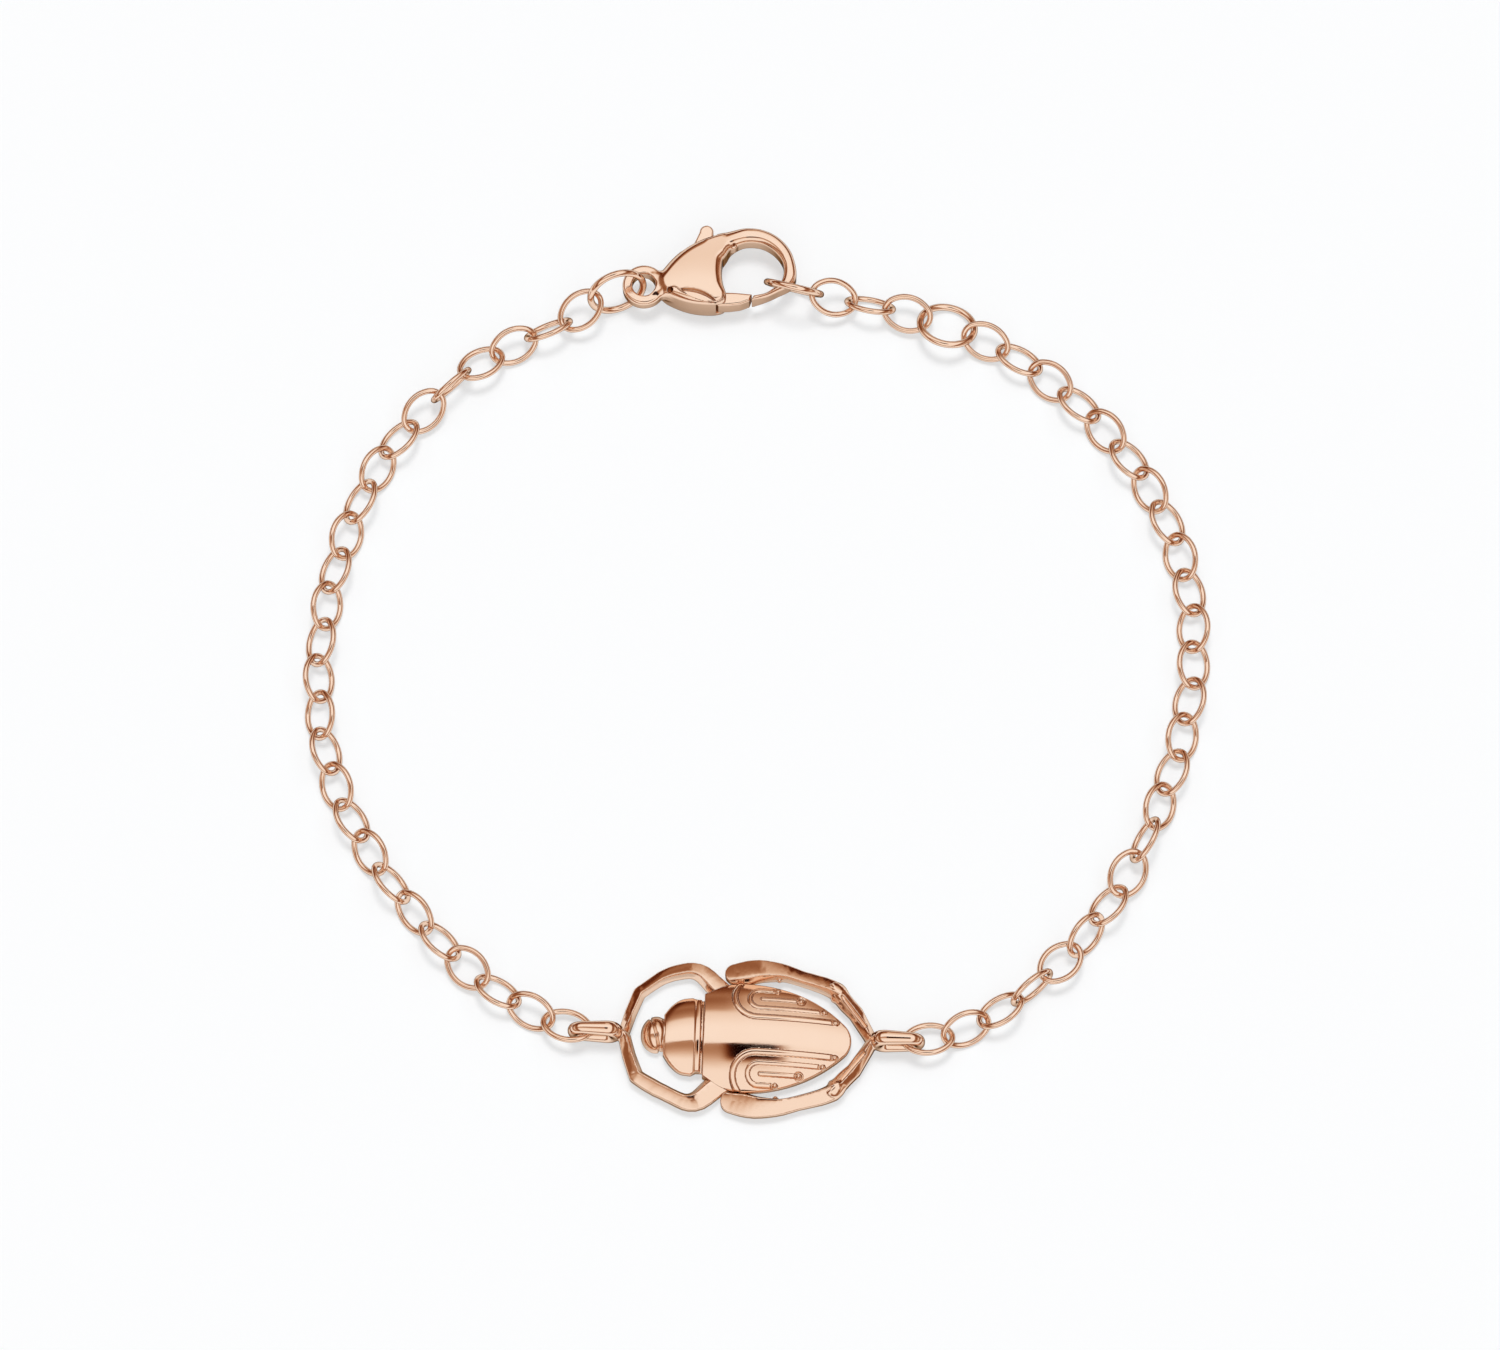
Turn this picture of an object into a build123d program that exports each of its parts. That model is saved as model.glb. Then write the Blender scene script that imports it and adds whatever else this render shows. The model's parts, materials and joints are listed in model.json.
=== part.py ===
from build123d import *
from math import atan2, ceil, cos, degrees, radians, sin, sqrt
import os

# A scarab bracelet, closed and lying flat in a loop. Millimetres, +Z up.
# The cast scarab lies on the near side (-Y), the clasp on the far side (+Y).

# Chain links: flat-lying ovals of round wire, alternately rolled to each side.
link_wire = 0.39
link_inner_length = 2.785
link_outer_width = 2.66
link_end_radius = 0.85
link_play = 0.185

# The three larger round rings: at the clasp's eye, in the clasp's hook and between the two
# stretches of the right strand.
ring_wire = 0.47
ring_outer_diameter = 4.2
jump_ring_roll = 74.0
jump_ring_heading = 199.0
jump_ring_inset = 0.06
jump_ring_shift = 0.08
end_ring_roll = 110.0
end_ring_heading = -14.0
end_ring_inset = 1.13
end_ring_shift = -0.25
sizing_ring_roll = -27.0
jump_ring_rise = 0.03
end_ring_rise = 0.03

# Roll of each link about its own length, in degrees, from the clasp round to the scarab.
# A positive roll raises the side that faces away from the wrist.
left_rolls = [3, -54, 40, -20, -80, 26, -36, 42, -42, 39, -39, 42, -42,
              42, -42, 42, -38, 39, -42, 48, -50, 42, -24, 38, -43, 20]
tail_rolls = [18, -49, 27]
right_rolls = [32, -33, 31, -33, 36, -33, 42, -33, 36, -33, 36, -33, 36,
               -36, 36, -39, 60, -20, 38, -56, 8, -81, 34, -46, 20]

# Route of each strand, as it was laid out, from the clasp to the scarab.
# Columns: share of the straight line between the strand's two ends, share of it to the outside.
left_route = [(0.0, 0.0), (0.022, 0.03), (0.064, 0.116), (0.126, 0.194), (0.203, 0.26), (0.34, 0.32),
              (0.487, 0.346), (0.635, 0.333), (0.774, 0.268), (0.892, 0.174), (0.957, 0.097), (1.0, 0.0)]
right_route = [(0.0, 0.0), (0.01, 0.045), (0.04, 0.125), (0.091, 0.217), (0.159, 0.29), (0.278, 0.368),
               (0.416, 0.409), (0.562, 0.401), (0.7, 0.353), (0.826, 0.28), (0.898, 0.218),
               (0.957, 0.142), (0.995, 0.057), (1.0, 0.0)]
route_samples = 400
bulge_steps = 40

# How the loop lies: the clasp's distance from the scarab as a share of the left strand's length,
# and its sideways place.
clasp_lie_share = 0.8016
clasp_shift = -2.34
scarab_turn = -2.0

# Scarab, along u from its head (-) to its tail (+), across v, height z.
wing_half_width = 3.76
wing_widest = -0.2
wing_front = -2.83
wing_front_half_width = 2.82
wing_shoulder = 0.79
tail_tip = 6.92
tail_tip_radius = 1.51
wing_crest = 2.1
wing_crest_place = -0.5
wing_crest_radius = 22.5
wing_cross_radius = 6.28
scarab_underside = 0.45
# How far cutters and blanks run past what they cut.
blank_margin = 1.0

thorax_half_width = 2.68
thorax_side = -3.6
thorax_front = -5.45
thorax_front_half_width = 1.38
thorax_side_radius = 1.97
thorax_crest = 1.75
thorax_crest_radius = 6.0
thorax_cross_radius = 4.44
thorax_overlap = 0.165
neck_notch_half_width = 2.5
neck_notch_length = 0.45
collar_width = 0.42
collar_rise = 0.1
groove_width = 0.18
groove_depth = 0.2

head_half_width = 1.33
head_front = -6.86
head_side = -5.7
head_place = -5.6
head_radius = 1.55
head_centre_height = -0.05
head_overlap = 1.0
brow_groove_width = 0.14
brow_groove_depth = 0.1
# Brow groove, columns: place along and across the head, as shares of the head's half width.
brow_groove_path = [(-0.53, 0.68), (-0.26, -0.15), (-0.04, -1.02)]

# Raised wing ribs: how far they stand up, and the size of the bead at each end.
rib_rise = 0.12
rib_bead_diameter = 0.36
outer_rib_width = 0.5
outer_rib_line = 1.13
outer_rib_end = 5.9
outer_rib_bend = 0.45
outer_rib_radius = 1.5
outer_rib_sweep = 130.0
inner_rib_width = 0.38
inner_rib_line = 1.89
inner_rib_end = 5.1
inner_rib_bend = 0.85
inner_rib_radius = 0.69
inner_rib_arm_end = 2.0
bar_rib_width = 0.34
bar_rib_start = 1.0
bar_rib_end = 3.55

# Legs. Columns: place along as a share of the leg reach, place across as a share of the leg spread,
# width and top height as shares of the leg width and leg height, ridge place as a share of the width.
leg_reach = 8.2
leg_spread = 4.87
leg_width = 0.92
leg_height = 1.2
leg_side_share = 0.55
front_leg_table = [
    (-0.180, 0.600, 1.50, 0.85, -0.20),
    (-0.275, 0.735, 1.40, 0.98, -0.20),
    (-0.426, 0.915, 1.12, 1.18, -0.22),
    (-0.860, 0.610, 1.00, 1.12, -0.24),
    (-0.957, 0.113, 0.76, 1.25, -0.20),
    (-1.000, 0.000, 0.76, 1.45, 0.00),
]
hind_leg_table = [
    (-0.150, 0.895, 1.30, 0.85, 0.00),
    (-0.060, 0.910, 1.85, 1.05, 0.10),
    (0.085, 0.965, 1.65, 1.15, 0.08),
    (0.280, 0.955, 1.22, 1.05, 0.00),
    (0.430, 0.880, 1.09, 1.00, -0.10),
    (0.610, 0.790, 1.30, 1.12, -0.15),
    (0.713, 0.712, 1.48, 1.35, -0.10),
    (0.800, 0.520, 1.30, 1.25, -0.20),
    (0.870, 0.405, 1.10, 1.15, -0.22),
    (0.975, 0.110, 0.86, 1.30, -0.10),
    (1.010, 0.000, 0.80, 1.45, 0.00),
]

# Upright wire bails, soldered to the ends of the legs.
bail_wire = 0.78
bail_length = 3.6
bail_height = 2.42
bail_end_radius = 0.74
# How far the last link of each strand lies in from the bail's inside.
left_bail_play = 0.42
right_bail_play = 0.3

# Clasp. Outlines are shares of its length and width from the lever's pivot.
clasp_length = 9.17
clasp_width = 5.64
clasp_thickness = 2.8
clasp_edge_radius = 0.5
hook_low = 0.9
hook_high = 2.6
pivot_along = -1.1
pivot_across = -0.6
# Columns: along, across, corner radius as a share of the width.
shell_outline = [(-0.256, 0.105, 0.11), (-0.105, 0.375, 0.35), (0.055, 0.545, 0.35), (0.255, 0.637, 0.08),
                 (0.252, 0.38, 0.10), (0.195, 0.30, 0.14), (0.195, -0.18, 0.14), (0.222, -0.358, 0.10),
                 (-0.011, -0.358, 0.35), (-0.24, -0.177, 0.11)]
# Columns: along, across.
hook_outline = [(0.055, 0.535), (0.155, 0.587), (0.26, 0.628), (0.38, 0.642), (0.48, 0.628), (0.60, 0.53),
                (0.695, 0.355), (0.742, 0.15), (0.742, -0.02), (0.69, -0.10), (0.60, -0.185),
                (0.525, -0.247), (0.43, -0.29)]
hook_inner = [(0.43, -0.245), (0.51, -0.205), (0.565, -0.15), (0.63, -0.055), (0.652, 0.08), (0.64, 0.21),
              (0.58, 0.345), (0.50, 0.43), (0.42, 0.455), (0.32, 0.44), (0.24, 0.40), (0.12, 0.36)]
eye_outer_diameter = 2.9
eye_hole_diameter = 1.74
eye_thickness = 1.0
eye_edge_radius = 0.25
eye_height = 1.6
eye_along = -4.6
eye_across = -1.05
neck_width = 1.5
neck_length = 1.9
shell_window_along = -0.11
shell_window_across = -1.52
shell_window_length = 2.3
shell_window_width = 0.42
shell_window_turn = -12.0
peep_hole_along = -1.72
peep_hole_across = -1.2
peep_hole_diameter = 0.34
peep_hole_depth = 1.4

# Lever, its pin and the pocket it swings in.
lever_thickness = 1.4
lever_range = 20
pocket_side_clearance = 0.14
pocket_face_clearance = 0.14
pocket_step = 4
lever_boss_radius = 0.62
pin_radius = 0.3
pin_running_clearance = 0.05
pin_cover = 0.35
stem_width = 0.8
knob_radius = 0.47
knob_along = 0.74
knob_across = 3.43
knob_base_width = 1.3
knob_rise = 1.1
knob_lean = 0.3
# Lever arm and gate, columns: along, across, as shares of the clasp's length and width.
lever_arm = [(-0.115, -0.20), (-0.03, -0.265), (0.10, -0.322), (0.22, -0.330), (0.32, -0.318),
             (0.411, -0.268), (0.411, -0.205), (0.30, -0.185), (0.20, -0.180), (0.11, -0.16),
             (0.05, -0.03), (-0.06, -0.06)]

link_pitch = link_inner_length - link_play
ring_span = ring_outer_diameter - 2 * ring_wire - link_play
ring_line_radius = (ring_outer_diameter - ring_wire) / 2
left_length = len(left_rolls) * link_pitch


def oval_ring(outer_length, outer_width, wire, end_radius):
    """One closed oval of round wire, lying in XY with its length along X: four tangent arcs."""
    half_length = (outer_length - wire) / 2
    half_width = (outer_width - wire) / 2
    end_centre = half_length - end_radius
    side_radius = (end_centre ** 2 + half_width ** 2 - end_radius ** 2) / (2 * (half_width - end_radius))
    side_centre = side_radius - half_width
    joint_angle = degrees(atan2(side_centre, end_centre))
    side_sweep = 180 - 2 * joint_angle
    ring = None
    for turn in (0, 180):
        end_section = Plane(origin=(half_length, 0, 0), x_dir=(1, 0, 1), z_dir=(0, -1, 0))
        end_arc = revolve(end_section * Circle(wire / 2), Axis((end_centre, 0, 0), (0, 0, 1)), 2 * joint_angle)
        end_arc = Pos(end_centre, 0, 0) * Rot(0, 0, -joint_angle) * Pos(-end_centre, 0, 0) * end_arc
        side_section = Plane(origin=(side_radius, -side_centre, 0), x_dir=(1, 0, 1), z_dir=(0, -1, 0))
        side_arc = revolve(side_section * Circle(wire / 2), Axis((0, -side_centre, 0), (0, 0, 1)), side_sweep)
        side_arc = Pos(0, -side_centre, 0) * Rot(0, 0, joint_angle) * Pos(0, side_centre, 0) * side_arc
        half = Rot(0, 0, turn) * (end_arc + side_arc)
        ring = half if ring is None else ring + half
    return ring


def laid(piece, low, high, outward, roll):
    """The piece with its length from one joint to the next, rolled about that line."""
    chord = (high - low).normalized()
    level = (outward - chord * outward.dot(chord)).normalized()
    upright = chord.cross(level)
    if upright.Z < 0:
        upright = upright * -1
    across = level * cos(radians(roll)) + upright * sin(radians(roll))
    plane = Plane(origin=(low + high) * 0.5, x_dir=chord, z_dir=chord.cross(across))
    return plane.location * piece


def rest_height(outer_width, wire, roll):
    """Height of a rolled ring's centre when its lower side rests on the table."""
    return wire / 2 + (outer_width - wire) / 2 * abs(sin(radians(roll)))


def strand_joints(start, finish, route, side, spans, heights):
    """Joints between the links: equal steps along the route, which bulges until they just fit."""
    curve = Spline(*[(along, out) for along, out in route])
    shares = [curve @ (step / route_samples) for step in range(route_samples + 1)]
    flat = Vector(finish.X - start.X, finish.Y - start.Y, 0)
    outward = Vector(-flat.Y, flat.X, 0) * side

    def walk(bulge):
        line = [Vector(start.X, start.Y, 0) + flat * share.X + outward * (share.Y * bulge) for share in shares]
        joints = [start]
        here = line[0]
        step = 1
        for span, low, high in zip(spans, heights[:-1], heights[1:]):
            reach = sqrt(span ** 2 - (high - low) ** 2)
            while step < len(line) and (line[step] - here).length < reach:
                step += 1
            if step == len(line):
                return joints, -1.0
            near, far = line[step - 1], line[step]
            inside, outside = 0.0, 1.0
            for _ in range(bulge_steps):
                middle = (inside + outside) / 2
                if (near + (far - near) * middle - here).length < reach:
                    inside = middle
                else:
                    outside = middle
            here = near + (far - near) * outside
            joints.append(Vector(here.X, here.Y, high))
        return joints, 1.0 - step / len(line)

    low_bulge, high_bulge = 0.0, 4.0
    for _ in range(bulge_steps):
        bulge = (low_bulge + high_bulge) / 2
        joints, spare = walk(bulge)
        if spare < 0:
            low_bulge = bulge
        else:
            high_bulge = bulge
    joints, spare = walk(high_bulge)
    return joints[:-1] + [finish]


def barrel(crest_place, crest, crest_radius, cross_radius, half_width, low, start, end, rise=0.0):
    """A dome curved both ways: an arc across, turned about a far axis below to curve it lengthwise."""
    top = crest + rise
    cross = cross_radius + rise
    edge = top - (cross - sqrt(cross ** 2 - half_width ** 2))
    section = make_face(Curve() + [
        ThreePointArc((crest_place, -half_width, edge), (crest_place, 0, top), (crest_place, half_width, edge)),
        Polyline((crest_place, half_width, edge), (crest_place, half_width, low),
                 (crest_place, -half_width, low), (crest_place, -half_width, edge)),
    ])
    axis_height = crest - crest_radius
    back = degrees(atan2(crest_place - start, low - axis_height))
    ahead = degrees(atan2(end - crest_place, low - axis_height))
    pivot = Axis((crest_place, 0, axis_height), (0, 1, 0))
    return revolve(section, pivot, ahead) + revolve(section, pivot, -back)


def dome_height(along, across, crest_place, crest, crest_radius, cross_radius):
    """Height of such a dome's surface at one place."""
    radius = crest_radius - (cross_radius - sqrt(cross_radius ** 2 - across ** 2))
    return crest - crest_radius + sqrt(radius ** 2 - (along - crest_place) ** 2)


def prism(face, low, high):
    """A plan outline raised from one height to another."""
    return Pos(0, 0, low) * extrude(face, high - low)


def band(edges, width):
    """A plan strip of even width along a path."""
    return trace(edges, width)


def leg(table, side):
    """A cast leg: five-sided sections with an off-centre ridge, mitred at each row of the table."""
    rows = [(along * leg_reach, across * leg_spread * side, width * leg_width, top * leg_height, ridge)
            for along, across, width, top, ridge in table]
    sections = []
    for place, (along, across, width, top, ridge) in enumerate(rows):
        before = rows[max(place - 1, 0)]
        after = rows[min(place + 1, len(rows) - 1)]
        came = Vector(along - before[0], across - before[1], 0)
        goes = Vector(after[0] - along, after[1] - across, 0)
        came = came.normalized() if came.length > 0 else goes.normalized()
        goes = goes.normalized() if goes.length > 0 else came
        ahead = (came + goes).normalized()
        outer = Vector(-ahead.Y, ahead.X, 0) * side
        if outer.Y * side < 0:
            outer = outer * -1
        stretch = width / 2 / ahead.dot(goes)
        centre = Vector(along, across, 0)
        shoulder = Vector(0, 0, top * leg_side_share)
        peak = Vector(0, 0, top)
        corners = [centre - outer * stretch, centre + outer * stretch, centre + outer * stretch + shoulder,
                   centre + outer * (2 * stretch * ridge) + peak, centre - outer * stretch + shoulder]
        sections.append(make_face(Polyline(*corners, close=True)))
    return loft(sections, ruled=True)


def bead(along, across):
    """The bead at the end of a rib, half sunk in the wing case."""
    height = dome_height(along, across, wing_crest_place, wing_crest, wing_crest_radius, wing_cross_radius)
    return Pos(along, across, height) * Sphere(rib_bead_diameter / 2)


def wing_cases():
    """The broad domed back, its outline drawn with tangent arcs."""
    side_run = tail_tip - tail_tip_radius - wing_widest
    side_radius = ((side_run ** 2 + wing_half_width ** 2 - tail_tip_radius ** 2)
                   / (2 * (wing_half_width - tail_tip_radius)))
    fall = side_radius - wing_half_width
    reach = side_radius / (side_radius - tail_tip_radius)
    touch_along = wing_widest + side_run * reach
    touch_across = -fall + fall * reach
    turn = atan2(touch_along - wing_widest, touch_across + fall) / 2
    shoulder_along = (wing_front + wing_widest) / 2
    shoulder_across = wing_front_half_width + (wing_half_width - wing_front_half_width) * wing_shoulder
    halves = []
    for side in (1, -1):
        halves.append(ThreePointArc((wing_front, side * wing_front_half_width),
                                    (shoulder_along, side * shoulder_across),
                                    (wing_widest, side * wing_half_width)))
        halves.append(ThreePointArc((wing_widest, side * wing_half_width),
                                    (wing_widest + side_radius * sin(turn),
                                     side * (side_radius * cos(turn) - fall)),
                                    (touch_along, side * touch_across)))
    outline = Curve() + halves + [
        ThreePointArc((touch_along, touch_across), (tail_tip, 0), (touch_along, -touch_across)),
        Line((wing_front, wing_front_half_width), (wing_front, -wing_front_half_width)),
    ]
    dome = barrel(wing_crest_place, wing_crest, wing_crest_radius, wing_cross_radius,
                  wing_half_width + blank_margin, scarab_underside - blank_margin,
                  wing_front - blank_margin, tail_tip + blank_margin)
    cases = prism(make_face(outline), scarab_underside, wing_crest + blank_margin) & dome
    raised = barrel(wing_crest_place, wing_crest, wing_crest_radius, wing_cross_radius,
                    wing_half_width + blank_margin, scarab_underside - blank_margin,
                    wing_front - blank_margin, tail_tip + blank_margin, rib_rise)
    arm_line = inner_rib_line + 2 * inner_rib_radius
    bar_line = inner_rib_line + inner_rib_radius
    beads = []
    strips = []
    for side in (1, -1):
        outer_centre = outer_rib_line + outer_rib_radius
        outer_end = 270 - outer_rib_sweep
        outer_path = Curve() + [
            Line((outer_rib_end, outer_rib_line), (outer_rib_bend, outer_rib_line)),
            CenterArc((outer_rib_bend, outer_centre), outer_rib_radius, outer_end, outer_rib_sweep),
        ]
        inner_path = Curve() + [
            Line((inner_rib_end, inner_rib_line), (inner_rib_bend, inner_rib_line)),
            CenterArc((inner_rib_bend, bar_line), inner_rib_radius, 90, 180),
            Line((inner_rib_bend, arm_line), (inner_rib_arm_end, arm_line)),
        ]
        bar_path = Line((bar_rib_start, bar_line), (bar_rib_end, bar_line))
        for path, width in ((outer_path, outer_rib_width), (inner_path, inner_rib_width),
                            (bar_path, bar_rib_width)):
            strip = prism(band(path, width), scarab_underside, wing_crest + blank_margin)
            strips.append(strip if side > 0 else mirror(strip, Plane.XZ))
        for along, across in ((outer_rib_end, outer_rib_line), (inner_rib_end, inner_rib_line),
                              (inner_rib_arm_end, arm_line), (bar_rib_end, bar_line)):
            beads.append(bead(along, side * across))
    plan = prism(make_face(outline), scarab_underside, wing_crest + blank_margin)
    ribbed = cases
    for strip in strips:
        ribbed = ribbed + (strip & raised & plan)
    for ball in beads:
        ribbed = ribbed + ball
    return ribbed


def thorax():
    """The shield behind the head, with its raised collar and the groove in front of the wing cases."""
    back = wing_front + thorax_overlap
    notch_end = wing_front - neck_notch_length
    halves = []
    for side in (1, -1):
        chord_along = (thorax_side + thorax_front) / 2
        chord_across = (thorax_half_width + thorax_front_half_width) / 2
        run = Vector(thorax_front - thorax_side, thorax_front_half_width - thorax_half_width, 0)
        rise = thorax_side_radius - sqrt(thorax_side_radius ** 2 - (run.length / 2) ** 2)
        outward = Vector(run.Y, -run.X, 0).normalized() * rise
        halves.append(Polyline((back, side * neck_notch_half_width), (notch_end, side * neck_notch_half_width),
                               (thorax_side, side * thorax_half_width)))
        halves.append(ThreePointArc((thorax_side, side * thorax_half_width),
                                    (chord_along + outward.X, side * (chord_across + outward.Y)),
                                    (thorax_front, side * thorax_front_half_width)))
    outline = Curve() + halves + [
        Line((thorax_front, thorax_front_half_width), (thorax_front, -thorax_front_half_width)),
        Line((back, neck_notch_half_width), (back, -neck_notch_half_width)),
    ]
    plan = prism(make_face(outline), scarab_underside, wing_crest + blank_margin)
    sizes = (thorax_side, thorax_crest, thorax_crest_radius, thorax_cross_radius,
             thorax_half_width + blank_margin, scarab_underside - blank_margin,
             thorax_front - blank_margin, back + blank_margin)
    shield = plan & barrel(*sizes)
    collar_end = wing_front - groove_width
    collar = prism(Pos(collar_end - collar_width / 2, 0) * Rectangle(collar_width, 2 * wing_half_width),
                   scarab_underside, wing_crest + blank_margin)
    groove = prism(Pos(wing_front - groove_width / 2, 0) * Rectangle(groove_width, 2 * wing_half_width),
                   scarab_underside, wing_crest + blank_margin)
    return shield + (collar & plan & barrel(*sizes, collar_rise)) - (groove - barrel(*sizes, -groove_depth))


def head():
    """The small round head, with one curved groove across its brow."""
    outline = Curve() + [
        ThreePointArc((head_side, head_half_width), (head_front, 0), (head_side, -head_half_width)),
        Polyline((head_side, head_half_width), (thorax_front + head_overlap, head_half_width),
                 (thorax_front + head_overlap, -head_half_width), (head_side, -head_half_width)),
    ]
    ball = Pos(head_place, 0, head_centre_height) * Sphere(head_radius)
    skull = prism(make_face(outline), scarab_underside, wing_crest) & ball
    path = ThreePointArc(*[(head_place + along * head_half_width, across * head_half_width)
                           for along, across in brow_groove_path])
    cutter = prism(band(path, brow_groove_width), scarab_underside, wing_crest)
    cutter = cutter - Pos(head_place, 0, head_centre_height) * Sphere(head_radius - brow_groove_depth)
    return skull - cutter


def scarab():
    """The whole casting: back, shield, head, four legs and the two wire bails soldered to them."""
    casting = wing_cases() + thorax() + head()
    for side in (1, -1):
        casting = casting + leg(front_leg_table, side) + leg(hind_leg_table, side)
    bail = Rot(90, 0, 0) * oval_ring(bail_length, bail_height, bail_wire, bail_end_radius)
    for end in (1, -1):
        casting = casting + Pos(end * (leg_reach + bail_length / 2), 0, bail_height / 2) * bail
    return casting


def clasp_points(table):
    """Points of an outline given as shares of the clasp's length and width from the pivot."""
    return [(pivot_along + along * clasp_length, pivot_across + across * clasp_width)
            for along, across in table]


def rounded_prism(table, high):
    """A straight-sided block whose upright corners are rounded one by one."""
    corners = clasp_points([(along, across) for along, across, _ in table])
    block = prism(make_face(Polyline(*corners, close=True)), 0, high)
    for corner, (_, _, share) in zip(corners, table):
        upright = block.edges().filter_by(Axis.Z).sort_by_distance(Vector(*corner, high / 2))[0]
        block = fillet(upright, share * clasp_width)
    return block


def lever_plan(spread):
    """The lever from above: gate arm, boss, stem and knob, spread by a clearance."""
    arm = make_face(Polyline(*clasp_points(lever_arm), close=True))
    knob = (pivot_along + knob_along, pivot_across + knob_across)
    plan = arm + Pos(pivot_along, pivot_across) * Circle(lever_boss_radius)
    plan = plan + band(Line((pivot_along, pivot_across), knob), stem_width)
    root = knob[0] - knob_lean
    blade = Polyline((root - knob_base_width / 2, knob[1] - knob_rise), (root + knob_base_width / 2, knob[1] - knob_rise),
                     (knob[0] + knob_radius, knob[1]), (knob[0] - knob_radius, knob[1]), close=True)
    plan = plan + make_face(blade) + Pos(*knob) * Circle(knob_radius)
    return offset(plan, spread) if spread > 0 else plan


def lever():
    """The sprung lever with its gate and thumb knob, and the bore for its pin."""
    low = (clasp_thickness - lever_thickness) / 2
    bar = prism(lever_plan(0), low, low + lever_thickness)
    bore = Pos(pivot_along, pivot_across, clasp_thickness / 2)
    return bar - bore * Cylinder(pin_radius + pin_running_clearance, clasp_thickness)


def clasp_shell():
    """The clasp's hollow shell, its hook and its end eye, with the pocket for the lever."""
    shell = rounded_prism(shell_outline, clasp_thickness)
    rims = [edge for edge in shell.edges() if edge.bounding_box().size.Z < clasp_edge_radius]
    shell = fillet(rims, clasp_edge_radius)
    hook_edges = Curve() + [
        Spline(*clasp_points(hook_outline)),
        Line(clasp_points(hook_outline)[-1], clasp_points(hook_inner)[0]),
        Spline(*clasp_points(hook_inner)),
        Line(clasp_points(hook_inner)[-1], clasp_points(hook_outline)[0]),
    ]
    hook = prism(make_face(hook_edges), hook_low, hook_high)
    body = shell + hook
    neck = prism(Pos(eye_along + neck_length / 2, eye_across) * Rectangle(neck_length, neck_width),
                 eye_height - eye_thickness / 2, eye_height + eye_thickness / 2)
    eye = Pos(eye_along, eye_across, eye_height)
    disc = Cylinder(eye_outer_diameter / 2, eye_thickness)
    disc = fillet(disc.edges().filter_by(GeomType.CIRCLE), eye_edge_radius)
    body = body + neck + eye * disc
    body = body - eye * Cylinder(eye_hole_diameter / 2, clasp_thickness)
    low = (clasp_thickness - lever_thickness) / 2 - pocket_face_clearance
    cutter = prism(lever_plan(pocket_side_clearance), low, clasp_thickness - low)
    pivot = Pos(pivot_along, pivot_across)
    home = Pos(-pivot_along, -pivot_across)
    for step in range(ceil(lever_range / pocket_step) + 2):
        body = body - pivot * Rot(0, 0, (step - 0.5) * pocket_step) * home * cutter
    window = prism(Pos(pivot_along + shell_window_along, pivot_across + shell_window_across)
                   * Rot(0, 0, shell_window_turn) * Ellipse(shell_window_length / 2, shell_window_width / 2),
                   clasp_thickness / 2, clasp_thickness)
    peep = Pos(pivot_along + peep_hole_along, pivot_across + peep_hole_across,
               clasp_thickness - peep_hole_depth / 2)
    body = body - window - peep * Cylinder(peep_hole_diameter / 2, peep_hole_depth)
    return body - pin_bore()


def pin_bore():
    """The space that the lever's pin fills."""
    length = clasp_thickness - pin_cover
    return Pos(pivot_along, pivot_across, length / 2) * Cylinder(pin_radius, length)


# Place of the scarab and the clasp, before the whole is centred.
scarab_place = Location((0, 0, 0), (0, 0, scarab_turn))
clasp_place = Pos(clasp_shift, clasp_lie_share * left_length, 0)


def ring_between(anchor, heading, roll, rise):
    """A round ring that starts at an anchor point and points along a heading: centre and far joint."""
    height = rest_height(ring_outer_diameter, ring_wire, roll) + rise
    centre = Vector(anchor.X, anchor.Y, height) + heading * ring_line_radius
    joint = centre + heading * (ring_span / 2)
    return centre, joint


jump_ring_anchor = (eye_along - jump_ring_inset, eye_across + jump_ring_shift)
hook_wall = pivot_along + max(along for along, across in hook_inner) * clasp_length
end_ring_anchor = (hook_wall - end_ring_inset, pivot_across + end_ring_shift)


def heading_of(angle):
    return Vector(cos(radians(angle)), sin(radians(angle)), 0)


jump_heading = heading_of(jump_ring_heading)
hook_heading = heading_of(end_ring_heading)
jump_start = (clasp_place * Pos(*jump_ring_anchor)).position
hook_start = (clasp_place * Pos(*end_ring_anchor)).position
jump_centre, left_start = ring_between(jump_start, jump_heading, jump_ring_roll, jump_ring_rise)
hook_centre, right_start = ring_between(hook_start, hook_heading, end_ring_roll, end_ring_rise)
bail_inside = leg_reach + bail_length - bail_wire
left_finish = (scarab_place * Pos(left_bail_play - bail_inside, 0, bail_height / 2)).position
right_finish = (scarab_place * Pos(bail_inside - right_bail_play, 0, bail_height / 2)).position


def joint_heights(first, last, rests):
    """Height of each joint: no lower than either of its two links needs."""
    middle = [max(low, high) for low, high in zip(rests[:-1], rests[1:])]
    return [first] + middle + [last]


def links_along(joints, rolls, inside_side):
    """One link from each joint to the next."""
    oval = oval_ring(link_inner_length + 2 * link_wire, link_outer_width, link_wire, link_end_radius)
    links = []
    for low, high, roll in zip(joints[:-1], joints[1:], rolls):
        outward = Vector(high.Y - low.Y, low.X - high.X, 0) * inside_side
        links.append(laid(oval, low, high, outward, roll))
    return links


link_rest = lambda roll: rest_height(link_outer_width, link_wire, roll)
left_rests = [link_rest(roll) for roll in left_rolls]
left_joints = strand_joints(left_start, left_finish, left_route, -1, [link_pitch] * len(left_rolls),
                            joint_heights(left_start.Z, left_finish.Z, left_rests))
left_chain = links_along(left_joints, left_rolls, 1)

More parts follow.
